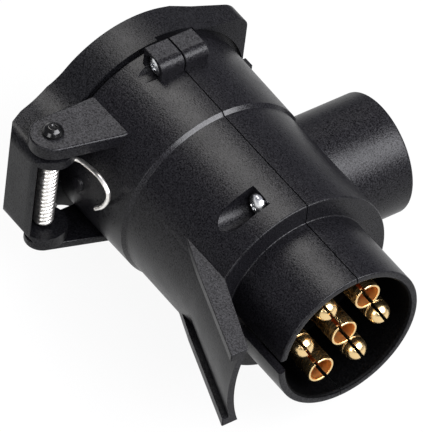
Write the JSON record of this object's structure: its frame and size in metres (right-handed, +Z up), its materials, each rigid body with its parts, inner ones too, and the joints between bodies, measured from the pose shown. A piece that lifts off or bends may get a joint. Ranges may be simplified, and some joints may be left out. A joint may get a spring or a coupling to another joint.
{
  "type": "trailer wiring connector",
  "caption": "Trailer wiring adapter with a round multi-pole plug, a side stub, and a rear socket under a sprung hinged lid.",
  "frame": {"origin": "centre of the bounding box in X and Y, at its lowest point", "axes": "+X out of the plug's mouth along the plug's axis, +Y towards the side stub, +Z up, parallel to the lid's hinge pin"},
  "size_m": [0.096, 0.0856, 0.0644],
  "materials": {
    "casing_plastic": "black, fine moulded grain, satin",
    "lid_plastic": "black, fine moulded grain, satin",
    "insert_plastic": "black, smooth moulded",
    "contact_brass": "polished, turned",
    "wire_cover": "smooth flexible insulation",
    "screw_steel": "bright zinc plate",
    "pin_black": "black oxide, smooth",
    "spring_steel": "bright drawn wire",
    "gasket_rubber": "matte"
  },
  "bodies": {
    "casing": {"left_shell": "casing_plastic", "right_shell": "casing_plastic", "plug_insert": "insert_plastic", "plug_pin_1": "contact_brass", "plug_pin_2": "contact_brass", "plug_pin_3": "contact_brass", "plug_pin_4": "contact_brass", "plug_tube_1": "contact_brass", "plug_tube_2": "contact_brass", "plug_tube_3": "contact_brass", "socket_housing": "insert_plastic", "socket_sleeve_1": "contact_brass", "socket_sleeve_2": "contact_brass", "socket_sleeve_3": "contact_brass", "socket_sleeve_4": "contact_brass", "socket_sleeve_5": "contact_brass", "socket_sleeve_6": "contact_brass", "socket_sleeve_7": "contact_brass", "socket_sleeve_8": "contact_brass", "socket_sleeve_9": "contact_brass", "socket_sleeve_10": "contact_brass", "socket_sleeve_11": "contact_brass", "socket_sleeve_12": "contact_brass", "socket_sleeve_13": "contact_brass", "jumper_wire_1": "wire_cover", "jumper_wire_2": "wire_cover", "jumper_wire_3": "wire_cover", "jumper_wire_4": "wire_cover", "jumper_wire_5": "wire_cover", "jumper_wire_6": "wire_cover", "jumper_wire_7": "wire_cover", "upper_front_screw": "screw_steel", "upper_rear_screw": "screw_steel", "lower_front_screw": "screw_steel", "lower_rear_screw": "screw_steel", "hinge_pin": "pin_black", "hinge_spring": "spring_steel"},
    "lid": {"lid": "lid_plastic", "lid_gasket": "gasket_rubber"}
  },
  "joints": [
    {"name": "lid_hinge", "type": "hinge", "parent": "casing", "child": "lid", "pos_m": [-0.0314, -0.0365, 0.0322], "axis": [0, 0, 1], "range_deg": [0, 110], "stiffness_Nm_per_rad": 0.04, "springref_deg": -45.84, "deforming": ["hinge_spring"]}
  ]
}
